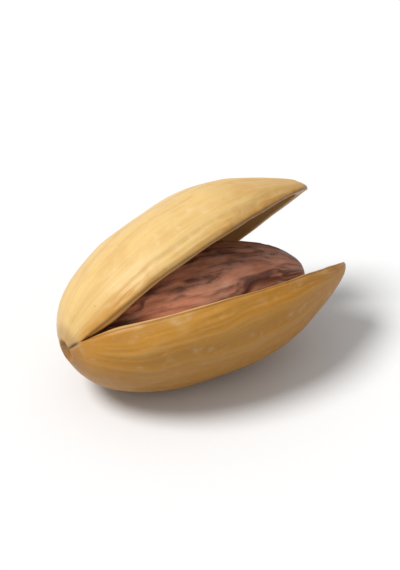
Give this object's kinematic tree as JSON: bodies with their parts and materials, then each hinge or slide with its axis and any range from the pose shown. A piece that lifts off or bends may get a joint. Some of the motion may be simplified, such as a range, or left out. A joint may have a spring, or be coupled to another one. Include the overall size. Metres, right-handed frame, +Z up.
{
  "type": "pistachio in shell",
  "caption": "Roasted pistachio lying in its naturally split shell: two woody valves, joined round the stem end, gape towards the apex over the loose kernel.",
  "frame": {"origin": "on the ground under the middle of the lying nut's bounding box", "axes": "+X along the nut's length, from the stem end to the apex; -Y to the side that the open front suture faces; +Z up from the ground it lies on"},
  "size_m": [0.0216, 0.0132, 0.0131],
  "materials": {
    "shell": "satin",
    "kernel": "matte"
  },
  "bodies": {
    "root": {"shell": "shell", "kernel": "kernel"}
  },
  "joints": []
}
